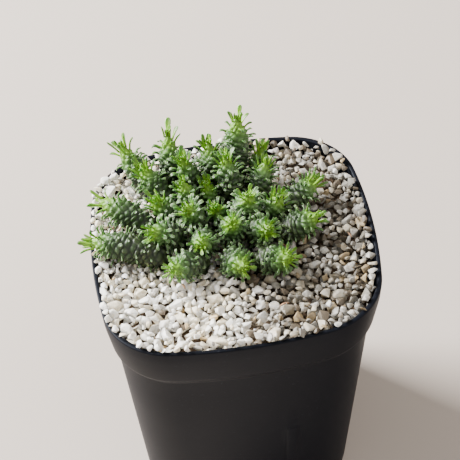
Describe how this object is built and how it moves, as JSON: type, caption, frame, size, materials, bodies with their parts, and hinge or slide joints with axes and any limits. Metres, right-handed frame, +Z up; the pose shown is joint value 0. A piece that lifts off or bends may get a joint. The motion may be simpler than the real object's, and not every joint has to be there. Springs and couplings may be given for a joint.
{
  "type": "potted euphorbia clavarioides",
  "caption": "Clump of leafy, club-shaped succulent stems in a square black nursery pot, top-dressed with pale gravel.",
  "frame": {"origin": "centre of the pot's flat base, on the surface that it stands on", "axes": "+Z up, -Y towards the front of the pot, +X to the right seen from the front"},
  "size_m": [0.1135, 0.108, 0.1438],
  "materials": {
    "pot": "satin",
    "soil": "matte",
    "gravel": "matte",
    "stem": "satin"
  },
  "bodies": {
    "root": {"pot": "pot", "soil": "soil", "gravel": "gravel", "stem_01": "stem", "stem_02": "stem", "stem_03": "stem", "stem_04": "stem", "stem_05": "stem", "stem_06": "stem", "stem_07": "stem", "stem_08": "stem", "stem_09": "stem", "stem_10": "stem", "stem_11": "stem", "stem_12": "stem", "stem_13": "stem", "stem_14": "stem", "stem_15": "stem", "stem_16": "stem", "stem_17": "stem", "stem_18": "stem", "stem_19": "stem", "stem_20": "stem", "stem_21": "stem", "stem_22": "stem", "stem_23": "stem", "stem_24": "stem", "stem_25": "stem", "stem_26": "stem", "stem_27": "stem"}
  },
  "joints": []
}
